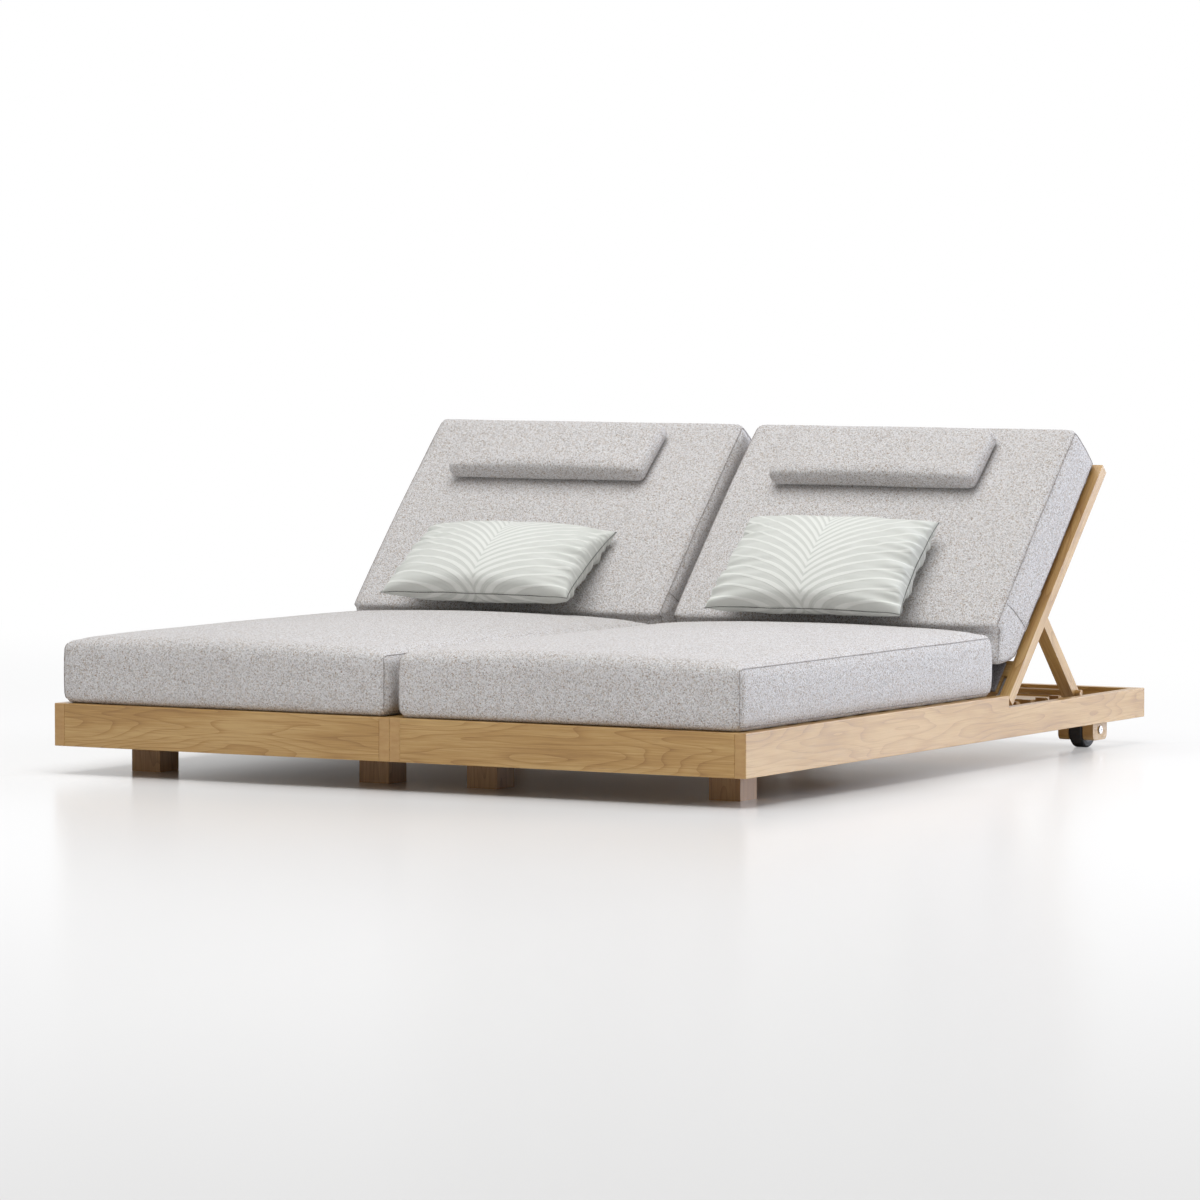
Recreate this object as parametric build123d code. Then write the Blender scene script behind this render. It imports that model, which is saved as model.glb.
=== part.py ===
from build123d import *
import math
import os

# Double chaise lounger: two equal wooden loungers joined side by side, each with a seat
# cushion, a folding back held by a prop with a foot bar, a headrest, a throw pillow and
# two small rear wheels. Millimetres. X runs across the width, Y from the foot end to the
# rear, Z up from the floor. The origin lies on the floor under the middle of the piece.

# Whole piece
module_width = 885.4
module_length = 2000.0
leg_height = 64.5
rail_height = 96.5
rail_thick = 27.0
wood_ease = 1.5

# The side rails step down behind the seat, so that the folded back lies level with it
step_from_rear = 734.0
step_drop = 27.6

# Front legs
leg_side = 77.0
leg_inset = 100.8
leg_setback = 160.5
board_thick = 24.0
board_margin = 11.5

# Seat deck
ledger_thick = 20.0
ledger_height = 20.0
slat_thick = 18.0
slat_width = 68.0
slat_gap = 32.0
cross_rail_thick = 27.0

# Folding back, measured along it from its hinge and outwards from the stiles' front plane
back_angle = 46.1
hinge_from_step = 5.5
hinge_depth = 4.5
back_length = 717.0
back_thick = 27.0
stile_width = 26.0
stile_gap = 0.4
stile_round = 3.0
back_rail_start = 60.0
back_rail_width = 45.0
top_rail_width = 27.0
foot_board_start = 9.0
foot_board_thick = 16.0
foot_board_inset = 36.0
back_slat_width = 58.0
back_slat_gap = 32.0
back_slat_thick = 10.0

# Hinge plates: one on the rail and one on the stile, with a pin through both
hinge_plate_thick = 3.0
hinge_plate_gap = 0.3
rail_plate_height = 76.0
rail_plate_tail = 5.0
hinge_nose = 4.5
stile_plate_nose = 6.0
stile_plate_length = 55.0
stile_pad_start = 14.0
plate_margin = 3.0
hinge_pin_radius = 2.5
run_clear = 0.05
pin_stub = 2.0

# Prop: two arms on bracket plates under the stiles, joined by a foot bar
prop_along = 306.8
prop_below = 28.0
prop_length = 305.9
prop_angle = 46.9
arm_depth = 27.6
arm_width = 32.0
arm_from_side = 42.4
bracket_gap = 0.4
bracket_thick = 4.0
bracket_half = 27.0
bracket_nose = 10.0
prop_pin_radius = 4.0
prop_spacer_radius = 7.0
prop_spacer_gap = 0.4
prop_head_thick = 3.0
foot_bar_radius = 7.5
foot_bar_gap = 2.4

# Notched racks between the arms, in which the foot bar stands
rack_from_side = 95.4
rack_thick = 24.0
rack_height = 22.5
tooth_height = 16.2
tooth_length = 30.0
tooth_flat = 9.0
tooth_pitch = 74.75
tooth_count = 5
foot_to_tooth = 14.1
foot_above_tooth = 2.3

# Rear wheels between cheeks
wheel_radius = 43.0
wheel_width = 33.5
wheel_from_rear = 169.0
wheel_board_gap = 2.0
tyre_thick = 13.0
tyre_round = 5.0
cheek_inset = 37.4
cheek_thick = 27.0
cheek_length = 77.0
cheek_bottom = 19.0
cheek_round = 14.0
wheel_side_gap = 1.75
axle_radius = 6.0
axle_head_radius = 9.0
axle_head_thick = 3.0
recess_width = 2.4
recess_length = 9.0
recess_depth = 1.4

# Bolts that join the two frames
bolt_radius = 4.0
bolt_head_radius = 9.0
bolt_head_thick = 5.0
bolt_height = 100.0
front_bolt = 330.0
rear_bolt = 540.0

# Seat cushion
seat_inset = 15.0
seat_front = 5.0
seat_rear_gap = 36.0
seat_thick = 144.0
seat_crown = 22.0
seat_bulge = 6.0
seat_corner = 18.0
seat_round = 22.0

# Back cushion
back_cushion_inset = 15.5
back_cushion_thick = 133.5
back_cushion_front_short = 17.0
back_cushion_rear_short = 5.0
back_cushion_crown = 18.0
back_cushion_round = 20.0
end_bulge = 4.0
flap_thick = 6.5
flap_start = 8.0
flap_end = 98.0
flap_inset = 38.0

# Headrest pillow
headrest_width = 548.0
headrest_length = 156.0
headrest_from_top = 223.0
headrest_thick = 44.0
headrest_crown = 9.0
headrest_bulge = 5.0
headrest_corner = 13.0
headrest_round = 20.0
headrest_shift = 29.0
headrest_tilt = -3.9

# Throw pillows
pillow_width = 516.0
pillow_height = 284.0
pillow_thick = 120.0
pillow_seam = 7.0
pillow_draw = 20.0
soft_gap = 0.3
right_pillow_shift = 31.7
right_pillow_along = 197.0
right_pillow_tilt = -3.0
left_pillow_shift = 2.3
left_pillow_along = 160.0
left_pillow_tilt = -15.0

# Places worked out from the sizes above
front = -module_length / 2
rear = module_length / 2
rail_top = leg_height + rail_height
low_top = rail_top - step_drop
step_y = rear - step_from_rear
hinge_y = step_y + hinge_from_step
hinge_z = rail_top - hinge_depth
deck_low = rail_top - slat_thick
cross_rail_end = step_y - rail_thick / 2
cross_rail_start = cross_rail_end - cross_rail_thick
slope = math.radians(back_angle)
back_cushion_front_end = back_length - back_cushion_front_short
back_cushion_rear_end = back_length - back_cushion_rear_short
seat_end = step_y - seat_rear_gap
modules = {"left": -module_width / 2, "right": module_width / 2}

# Shares: how far along a round the sections stand, and how far each is drawn in there
turn_share = ((0.0, 0.7), (0.2, 0.28), (0.55, 0.07), (1.0, 0.0))
length_share = (0.15, 0.32, 0.5, 0.68, 0.85)
fold_share = ((0.809, 0.0), (0.479, 0.285), (0.33, 0.509), (0.42, 0.614), (0.753, 0.843), (0.727, 1.0))
settle_steps = 4
across_share = (-1.0, -0.95, -0.82, -0.6, -0.3, 0.0, 0.3, 0.6, 0.82, 0.95, 1.0)


def back_point(along, out):
    # Y and Z of a point on the back
    y = hinge_y + along * math.cos(slope) - (out + hinge_depth) * math.sin(slope)
    z = hinge_z + along * math.sin(slope) + (out + hinge_depth) * math.cos(slope)
    return y, z


def on_back(middle):
    # Places a piece that is drawn lying flat, with X across, Y along and Z outwards
    return Location((middle, hinge_y, hinge_z), (back_angle, 0, 0)) * Pos(0, 0, hinge_depth)


def block(span, y0, y1, z0, z1, ease=0):
    low, high = span
    body = Pos((low + high) / 2, (y0 + y1) / 2, (z0 + z1) / 2) * Box(high - low, y1 - y0, z1 - z0)
    if ease:
        body = fillet(body.edges(), ease)
    return body


def rod(span, y, z, radius):
    # A round bar along X
    low, high = span
    return Pos((low + high) / 2, y, z) * Rot(0, 90, 0) * Cylinder(radius, high - low)


def plate(span, points):
    # A flat outline in the YZ plane, given a thickness along X
    low, high = span
    outline = Polyline([Vector(0, y, z) for y, z in points], close=True)
    return Pos(low, 0, 0) * extrude(make_face(outline), amount=high - low, dir=(1, 0, 0))


def from_side(middle, side, near, far):
    # The stretch of X between two depths, counted inwards from one side of a lounger
    edge = middle + side * module_width / 2
    return tuple(sorted((edge - side * near, edge - side * far)))


def save(name, solids):
    export_step(Compound(children=list(solids)), "parts/" + name + ".step")


def spread(first, last, width, gap):
    # The starts of an even row of slats that fills a stretch
    count = max(int((last - first - gap) // (width + gap)), 1)
    free = (last - first - count * width) / (count + 1)
    return [first + free + i * (width + free) for i in range(count)]


def side_rail(span, bolt_places):
    outline = [
        (front, leg_height), (rear, leg_height), (rear, low_top),
        (step_y, low_top), (step_y, rail_top), (front, rail_top),
    ]
    body = fillet(plate(span, outline).edges(), wood_ease)
    for y in bolt_places:
        body -= rod(span, y, bolt_height, bolt_radius)
    return body


def rack(span, board_start, foot_y, foot_z):
    # The teeth have an upright front face and a rounded back, so the bar climbs them forwards
    low, high = span
    top = foot_z - foot_bar_radius - foot_above_tooth
    floor = top - tooth_height
    base = floor - rack_height
    shapes = [block(span, cross_rail_end, board_start, base, floor)]
    for i in range(tooth_count):
        face = foot_y + foot_to_tooth - tooth_pitch * i
        middle = (0, face + tooth_length * 0.72, floor + tooth_height * 0.62)
        lines = [
            Edge.make_line((0, face, base), (0, face, top)),
            Edge.make_line((0, face, top), (0, face + tooth_flat, top)),
            Edge.make_three_point_arc((0, face + tooth_flat, top), middle, (0, face + tooth_length, floor)),
            Edge.make_line((0, face + tooth_length, floor), (0, face + tooth_length, base)),
            Edge.make_line((0, face + tooth_length, base), (0, face, base)),
        ]
        tooth = extrude(Face(Wire(lines)), amount=high - low, dir=(1, 0, 0))
        shapes.append(Pos(low, 0, 0) * tooth)
    body = shapes[0]
    for tooth in shapes[1:]:
        body += tooth
    return body


def section(y, half, low, high, crown, bulge, corner):
    # A cross-section of a box cushion: flat below, crowned above, with bulging sides
    turn = corner * (1 - math.sqrt(0.5))
    middle = (low + high) / 2
    points = [
        (half - corner, low), (half - turn, low + turn), (half, low + corner),
        (half + bulge, middle), (half, high - corner), (half - turn, high - turn),
        (half - corner, high), (0, high + crown), (corner - half, high),
        (turn - half, high - turn), (-half, high - corner), (-half - bulge, middle),
        (-half, low + corner), (turn - half, low + turn), (corner - half, low),
    ]
    spots = [(x, y, z) for x, z in points]
    arcs = [Edge.make_three_point_arc(*spots[i:i + 3]) for i in range(0, len(spots) - 1, 2)]
    return Wire(arcs + [Edge.make_line(spots[-1], spots[0])])


def cushion(width, length, thick, crown, bulge, corner, end_round):
    # A box cushion lying on Z = 0 from Y = 0 on, with rounded ends
    stations = [(run * end_round, inset * end_round) for run, inset in turn_share]
    ends = [(length - run, inset) for run, inset in reversed(stations)]
    stations += [(length * share, 0) for share in length_share] + ends
    wires = []
    for y, inset in stations:
        swell = 1 - (2 * y / length - 1) ** 4 * 0.7
        wires.append(section(y, width / 2 - inset, inset, thick - inset, crown * swell, bulge * swell, corner))
    return Solid.make_loft(wires, True)


def back_cushion():
    # Sections across the back: crowned in front, folded in at the foot to clear the seat
    half = module_width / 2 - back_cushion_inset
    middle = (back_cushion_front_end + back_cushion_thick) / 2
    deep = back_cushion_thick / 2
    stations = [(run * back_cushion_round - half, inset * back_cushion_round) for run, inset in turn_share]
    ends = [(-x, inset) for x, inset in reversed(stations)]
    stations += [(half * share, 0) for share in across_share[3:-3]] + ends
    wires = []
    for x, inset in stations:
        swell = 1 - (x / half) ** 4 * 0.7
        points = [(back_cushion_thick * a, back_cushion_thick * b) for a, b in fold_share]
        points = [(a + inset, deep + (b - deep) * (1 - inset / deep)) for a, b in points]
        front_top = (back_cushion_front_end - inset, back_cushion_thick - inset)
        rear_top = (back_cushion_rear_end - inset, inset)
        end_middle = ((front_top[0] + rear_top[0]) / 2 + end_bulge, deep)
        high = (middle, back_cushion_thick - inset + back_cushion_crown * swell)
        spots = [(x, a, b) for a, b in points]
        edges = [Edge.make_line(spots[i], spots[i + 1]) for i in range(len(spots) - 1)]
        corner = (x, *front_top)
        last = (x, *rear_top)
        edges.append(Edge.make_three_point_arc(spots[-1], (x, *high), corner))
        edges.append(Edge.make_three_point_arc(corner, (x, *end_middle), last))
        edges.append(Edge.make_line(last, spots[0]))
        wires.append(Wire(edges))
    return Solid.make_loft(wires, True)


def settle(piece, carrier):
    # Lowers a soft piece towards the back until it lies just clear of what carries it
    for step in range(settle_steps):
        piece = Pos(0, 0, soft_gap - piece.distance_to(carrier)) * piece
    return piece


def throw_pillow():
    # A knife-edged pillow: full in the middle, thin at the seam, with its sides drawn in
    edge = pillow_seam / 2
    wires = []
    for share in across_share:
        x = pillow_width / 2 * share
        half = pillow_height / 2 - pillow_draw / 2 * (1 - share ** 2)
        belly = edge * 1.3 + (pillow_thick / 2 - edge * 1.3) * (1 - share ** 2) ** 0.7
        wires.append(Wire([
            Edge.make_three_point_arc((x, -half, edge), (x, 0, belly), (x, half, edge)),
            Edge.make_line((x, half, edge), (x, half, -edge)),
            Edge.make_three_point_arc((x, half, -edge), (x, 0, -belly), (x, -half, -edge)),
            Edge.make_line((x, -half, -edge), (x, -half, edge)),
        ]))
    return Solid.make_loft(wires, True)


def rail_plate(middle, side):
    # An upright tongue on the rail, rounded over the hinge line
    near = rail_thick
    span = from_side(middle, side, near, near + hinge_plate_thick)
    top = hinge_z
    points = [
        (hinge_y - hinge_nose, top - rail_plate_height), (hinge_y + hinge_nose, top - rail_plate_height),
        (hinge_y + hinge_nose, top), (hinge_y - hinge_nose, top),
    ]
    tongue = plate(span, points)
    tail = block(
        span, hinge_y, hinge_y + hinge_nose + rail_plate_tail, top - rail_plate_height, low_top,
    )
    return tongue + tail + rod(span, hinge_y, hinge_z, hinge_nose) - rod(span, hinge_y, hinge_z, hinge_pin_radius)


def stile_plate(side):
    # Turns beside the rail plate and is packed out against the stile
    near = rail_thick + hinge_plate_thick + hinge_plate_gap
    span = from_side(0, side, near, near + hinge_plate_thick)
    pad_span = from_side(0, side, stile_gap + stile_width, near)
    low = plate_margin - back_thick
    arm = block(span, 0, stile_plate_length, low, -plate_margin)
    arm += rod(span, 0, -hinge_depth, stile_plate_nose)
    arm += block(pad_span, stile_pad_start, stile_plate_length, low, -plate_margin)
    return arm - rod(span, 0, -hinge_depth, hinge_pin_radius + run_clear)


def bracket(side):
    # Hangs from the stile beside the rail and carries the prop's pin
    near = rail_thick + bracket_gap
    span = from_side(0, side, near, near + bracket_thick)
    pad_span = from_side(0, side, stile_gap + stile_width, near)
    first, last = prop_along - bracket_half, prop_along + bracket_half
    low = plate_margin - back_thick
    high = -plate_margin - back_slat_thick
    body = block(span, first, last, low, high)
    body += block(span, prop_along - bracket_nose, prop_along + bracket_nose, -prop_below, low)
    body += rod(span, prop_along, -prop_below, bracket_nose)
    body += block(pad_span, first, last, low, high)
    return body - rod(span, prop_along, -prop_below, prop_pin_radius)


def prop_pin(side):
    start = rail_thick + bracket_gap
    plate_end = start + bracket_thick
    arm_end = arm_from_side + arm_width
    head = arm_end + prop_spacer_gap
    pin = rod(from_side(0, side, start, head + prop_head_thick), prop_along, -prop_below, prop_pin_radius)
    pin += rod(from_side(0, side, plate_end, arm_from_side - prop_spacer_gap), prop_along, -prop_below, prop_spacer_radius)
    pin += rod(from_side(0, side, head, head + prop_head_thick), prop_along, -prop_below, prop_spacer_radius)
    return pin


def prop_arm(side):
    # Drawn along Y from the pin to the foot bar
    span = from_side(0, side, arm_from_side, arm_from_side + arm_width)
    arm = block(span, 0, prop_length, -arm_depth / 2, arm_depth / 2)
    arm += rod(span, 0, 0, arm_depth / 2)
    arm += rod(span, prop_length, 0, arm_depth / 2)
    arm -= rod(span, 0, 0, prop_pin_radius + run_clear)
    return arm - rod(span, prop_length, 0, foot_bar_radius)


def axle(middle, side, y):
    # From the outer cheek to the inner one, with a cross-recessed head outside
    inner = cheek_inset + 2 * cheek_thick + wheel_width + 2 * wheel_side_gap
    body = rod(from_side(middle, side, cheek_inset, inner), y, wheel_radius, axle_radius)
    head_span = from_side(middle, side, cheek_inset - axle_head_thick, cheek_inset)
    body += rod(head_span, y, wheel_radius, axle_head_radius)
    body += rod(from_side(middle, side, inner, inner + axle_head_thick), y, wheel_radius, axle_head_radius)
    cut = from_side(middle, side, cheek_inset - axle_head_thick, cheek_inset - axle_head_thick + recess_depth)
    half, thin = recess_length / 2, recess_width / 2
    body -= block(cut, y - half, y + half, wheel_radius - thin, wheel_radius + thin)
    return body - block(cut, y - thin, y + thin, wheel_radius - half, wheel_radius + half)


os.makedirs("parts", exist_ok=True)
legs, cheeks, axles, rail_plates, pins, bolts = [], [], [], [], [], []
bolt_places = (front + front_bolt, rear - rear_bolt)
wheel_y = rear - wheel_from_rear
wheel_board_low = 2 * wheel_radius + wheel_board_gap
wheel_board_start = wheel_y - cheek_length / 2 - board_margin
pin_y, pin_z = back_point(prop_along, -prop_below)
foot_y = pin_y + prop_length * math.cos(math.radians(prop_angle))
foot_z = pin_z - prop_length * math.sin(math.radians(prop_angle))
inner_of = {"left": 1, "right": -1}

for y in bolt_places:
    heads = rail_thick + bolt_head_thick
    bolt = rod((-heads, heads), y, bolt_height, bolt_radius)
    bolt += rod((-heads, -rail_thick), y, bolt_height, bolt_head_radius)
    bolts.append(bolt + rod((rail_thick, heads), y, bolt_height, bolt_head_radius))

for name, middle in modules.items():
    inner_side = inner_of[name]
    between = (middle - module_width / 2 + rail_thick, middle + module_width / 2 - rail_thick)

    # Frame rails
    save(name + "_outer_rail", [side_rail(from_side(middle, -inner_side, 0, rail_thick), ())])
    save(name + "_inner_rail", [side_rail(from_side(middle, inner_side, 0, rail_thick), bolt_places)])
    save(name + "_front_rail", [block(between, front, front + rail_thick, leg_height, rail_top, wood_ease)])
    save(name + "_rear_rail", [block(between, rear - rail_thick, rear, leg_height, low_top, wood_ease)])

    # Seat deck
    deck_start = front + rail_thick
    ledgers = [
        block(
            from_side(middle, side, rail_thick, rail_thick + ledger_thick),
            deck_start, cross_rail_start, deck_low - ledger_height, deck_low,
        )
        for side in (-1, 1)
    ]
    save(name + "_ledgers", ledgers)
    slats = [
        block(between, y, y + slat_width, deck_low, rail_top)
        for y in spread(deck_start, cross_rail_end, slat_width, slat_gap)
    ]
    save(name + "_seat_slats", slats)

    # Boards across the frame: for the legs, the end of the deck and the wheels
    leg_y = front + leg_setback
    boards = [
        block(between, leg_y - board_margin, leg_y + leg_side + board_margin, leg_height, leg_height + board_thick),
        block(between, cross_rail_start, cross_rail_end, leg_height, deck_low),
        block(
            between, wheel_board_start, wheel_y + cheek_length / 2 + board_margin,
            wheel_board_low, wheel_board_low + board_thick,
        ),
    ]
    save(name + "_cross_boards", boards)
    for side in (-1, 1):
        leg = block(from_side(middle, side, leg_inset, leg_inset + leg_side), leg_y, leg_y + leg_side, 0, leg_height)
        legs.append(fillet(leg.edges().filter_by(Axis.Z), wood_ease))

    # Racks
    racks = [
        rack(from_side(middle, side, rack_from_side, rack_from_side + rack_thick), wheel_board_start, foot_y, foot_z)
        for side in (-1, 1)
    ]
    save(name + "_racks", racks)

    # Wheels between their cheeks
    for side in (-1, 1):
        label = name + ("_inner" if side == inner_side else "_outer")
        wheel_near = cheek_inset + cheek_thick + wheel_side_gap
        wheel_far = wheel_near + wheel_width
        far_cheek = wheel_far + wheel_side_gap
        for near in (cheek_inset, far_cheek):
            span = from_side(middle, side, near, near + cheek_thick)
            cheek = block(span, wheel_y - cheek_length / 2, wheel_y + cheek_length / 2, cheek_bottom, wheel_board_low)
            cheek = fillet(cheek.edges().filter_by(Axis.X).group_by(Axis.Z)[0], cheek_round)
            cheeks.append(cheek - rod(span, wheel_y, wheel_radius, axle_radius))
        span = from_side(middle, side, wheel_near, wheel_far)
        wheel = rod(span, wheel_y, wheel_radius, wheel_radius)
        wheel = fillet(wheel.edges().filter_by(GeomType.CIRCLE), tyre_round)
        core = rod(span, wheel_y, wheel_radius, wheel_radius - tyre_thick)
        save(label + "_tyre", [wheel - core])
        save(label + "_hub", [core - rod(span, wheel_y, wheel_radius, axle_radius + run_clear)])
        axles.append(axle(middle, side, wheel_y))

    # Folding back
    here = on_back(middle)
    foot = -hinge_depth
    back_end = back_length + foot
    stiles = []
    for side in (-1, 1):
        stile = block(from_side(0, side, stile_gap, stile_gap + stile_width), foot, back_end, -back_thick, 0)
        ends = stile.edges().filter_by(Axis.X).group_by(Axis.Y)
        stile = fillet(ends[0], stile_round)
        stiles.append(here * stile)
    save(name + "_stiles", stiles)
    stile_inner = module_width / 2 - stile_gap - stile_width
    inside = (-stile_inner, stile_inner)
    top_rail = back_end - top_rail_width
    back_rail_end = back_rail_start + back_rail_width
    foot_half = module_width / 2 - foot_board_inset
    back_rails = [
        here * block((-foot_half, foot_half), foot_board_start, back_rail_start, -foot_board_thick, 0),
        here * block(inside, back_rail_start, back_rail_end, -back_thick, 0),
        here * block(inside, top_rail, back_end, -back_thick, 0),
    ]
    save(name + "_back_rails", back_rails)
    back_slats = [
        here * block(inside, y, y + back_slat_width, -back_slat_thick, 0)
        for y in spread(back_rail_end, top_rail, back_slat_width, back_slat_gap)
    ]
    save(name + "_back_slats", back_slats)

    # Hinge plates and pins
    for side in (-1, 1):
        rail_plates.append(rail_plate(middle, side))
        pin_end = rail_thick + 2 * hinge_plate_thick + hinge_plate_gap + pin_stub
        pins.append(rod(from_side(middle, side, rail_thick, pin_end), hinge_y, hinge_z, hinge_pin_radius))
    save(name + "_stile_plates", [here * stile_plate(side) for side in (-1, 1)])

    # Prop
    save(name + "_prop_brackets", [here * bracket(side) for side in (-1, 1)])
    save(name + "_prop_pins", [here * prop_pin(side) for side in (-1, 1)])
    turned = Location((middle, pin_y, pin_z), (-prop_angle, 0, 0))
    save(name + "_prop_arms", [turned * prop_arm(side) for side in (-1, 1)])
    reach = module_width / 2 - rail_thick - foot_bar_gap
    save(name + "_foot_bar", [rod((middle - reach, middle + reach), foot_y, foot_z, foot_bar_radius)])

    # Soft pieces
    seat_width = module_width - 2 * seat_inset
    seat_start = front + seat_front
    seat = cushion(seat_width, seat_end - seat_start, seat_thick, seat_crown, seat_bulge, seat_corner, seat_round)
    save(name + "_seat_cushion", [Pos(middle, seat_start, rail_top) * seat])
    pad = back_cushion()
    save(name + "_back_cushion", [here * pad])
    flap_half = module_width / 2 - flap_inset
    save(name + "_flap", [here * block((-flap_half, flap_half), flap_start, flap_end, 0, flap_thick)])
    rest = cushion(
        headrest_width, headrest_length, headrest_thick, headrest_crown,
        headrest_bulge, headrest_corner, headrest_round,
    )
    above = back_cushion_thick + back_cushion_crown + headrest_thick
    rest = Pos(-headrest_shift, back_length - headrest_from_top, above) * Rot(headrest_tilt, 0, 0) * rest
    save(name + "_headrest", [here * settle(rest, pad)])

# The right throw pillow leans flat on the back, the left one has slumped forwards
throws = {
    "left": (left_pillow_shift, left_pillow_along, left_pillow_tilt),
    "right": (right_pillow_shift, right_pillow_along, right_pillow_tilt),
}
for name, (shift, along, tilt) in throws.items():
    above = back_cushion_thick + back_cushion_crown + 2 * pillow_thick
    pillow = Pos(-shift, along, above) * Rot(tilt, 0, 0) * throw_pillow()
    save(name + "_throw_pillow", [on_back(modules[name]) * settle(pillow, back_cushion())])

save("front_legs", legs)
save("wheel_cheeks", cheeks)
save("wheel_axles", axles)
save("rail_plates", rail_plates)
save("hinge_pins", pins)
save("joining_bolts", bolts)
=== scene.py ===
import math
import random
import bmesh
import bpy
from mathutils import Matrix, Vector, noise
from mathutils.bvhtree import BVHTree
from mathutils.kdtree import KDTree


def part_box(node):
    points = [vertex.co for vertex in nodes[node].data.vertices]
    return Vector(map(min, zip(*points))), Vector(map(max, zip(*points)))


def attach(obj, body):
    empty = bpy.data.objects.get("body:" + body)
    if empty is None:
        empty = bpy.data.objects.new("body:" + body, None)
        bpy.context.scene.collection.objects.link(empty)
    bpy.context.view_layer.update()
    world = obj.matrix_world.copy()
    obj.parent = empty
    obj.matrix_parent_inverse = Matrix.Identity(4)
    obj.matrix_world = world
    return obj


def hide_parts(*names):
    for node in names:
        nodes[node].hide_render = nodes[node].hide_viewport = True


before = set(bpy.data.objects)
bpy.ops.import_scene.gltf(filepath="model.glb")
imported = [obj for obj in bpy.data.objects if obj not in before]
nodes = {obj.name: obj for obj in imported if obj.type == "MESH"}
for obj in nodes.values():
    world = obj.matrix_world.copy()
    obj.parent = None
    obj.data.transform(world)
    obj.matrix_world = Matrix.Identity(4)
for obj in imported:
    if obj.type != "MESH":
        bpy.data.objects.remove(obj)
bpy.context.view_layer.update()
print("frame loaded:", len(nodes), "nodes")

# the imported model's own lines, used to lay soft pieces flat while they are worked on
lounger = {
    "half": 0.4427,        # from the middle of the piece to the middle of each frame
    "angle": 46.1,         # the backs' slope at rest, in degrees
    "propAngle": 46.9,     # the props' slope, the other way
    "hingeY": 0.2715, "hingeZ": 0.1565,
    "depth": 0.0045,       # from the hinge line up to the cushion's underside
    "railTop": 0.161,
}
sides = {"left": -lounger["half"], "right": lounger["half"]}


def backPlace(x):
    turn = Matrix.Rotation(math.radians(lounger["angle"]), 4, "X")
    lift = Matrix.Translation((0, 0, lounger["depth"]))
    return Matrix.Translation((x, lounger["hingeY"], lounger["hingeZ"])) @ turn @ lift


# small helpers

def linear(value):
    # one sRGB hex colour to linear RGBA
    parts = [int(value[i:i + 2], 16) / 255 for i in (1, 3, 5)]
    return tuple(c / 12.92 if c <= 0.04045 else ((c + 0.055) / 1.055) ** 2.4 for c in parts) + (1,)


def addNode(tree, kind, inputs=None, links=None, **settings):
    node = tree.nodes.new(kind)
    for key, value in settings.items():
        setattr(node, key, value)
    for key, value in (inputs or {}).items():
        node.inputs[key].default_value = value
    for key, source in (links or {}).items():
        tree.links.new(source, node.inputs[key])
    return node


def fillRamp(ramp, stops):
    band = ramp.color_ramp
    while len(band.elements) > 1:
        band.elements.remove(band.elements[-1])
    band.elements[0].position = stops[0][0]
    band.elements[0].color = linear(stops[0][1])
    for place, colour in stops[1:]:
        band.elements.new(place).color = linear(colour)
    return ramp


def newMaterial(name):
    material = bpy.data.materials.new(name)
    material.use_nodes = True
    tree = material.node_tree
    return material, tree, tree.nodes["Principled BSDF"]


def setMaterial(piece, material):
    piece.data.materials.clear()
    piece.data.materials.append(material)


def addPiece(name, mesh, material, body, replaces=(), smooth=True):
    piece = bpy.data.objects.new(name, mesh)
    bpy.context.scene.collection.objects.link(piece)
    setMaterial(piece, material)
    if smooth:
        mesh.polygons.foreach_set("use_smooth", [True] * len(mesh.polygons))
    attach(piece, body)
    if replaces:
        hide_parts(*replaces)
    return piece


def bakeMesh(piece):
    # the evaluated object as a plain mesh
    bpy.context.view_layer.update()
    shown = piece.evaluated_get(bpy.context.evaluated_depsgraph_get())
    return bpy.data.meshes.new_from_object(shown)


# oiled teak: sawn and planed boards, straight grain with slow cathedral figure and fine dark pores,
# under a thin coat of oil that gives a low sheen

woodLook = {
    "light": "#C09D65", "middle": "#AE874B", "dark": "#986F38", "pore": "#84592D", "endGrain": "#A1743D",
    "stops": (0.37, 0.5, 0.62),     # where dark, middle and light lie on the ramp
    "figureMm": 26.0,               # spacing of the growth bands across the board
    "bandsToLump": 5.0, "stretch": 8.0, "rings": 25.0, "figure": 0.21,
    "fibre": (8.0, 380.0, 380.0),   # lines to the metre, along the board and across it
    "cloud": (2.2, 16.0, 16.0), "endRing": (1.0, 30.0, 110.0),
    "poreMm": 1.8,                  # drawn coarser than the real 0.3 mm pores, so that they show
    "poreStretch": 22.0, "poreDark": 0.3, "relief": 0.0005,
    "roughness": 0.36, "oil": 0.4, "oilRoughness": 0.32,
}
# the legs: the same teak painted darker, as painted shade for the shade they stand in under the frame, and
# without the oil coat
shadedLegLook = dict(woodLook, light="#AC8350", middle="#9D713D", dark="#895E2C", pore="#6E4820", oil=0.0)


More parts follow.
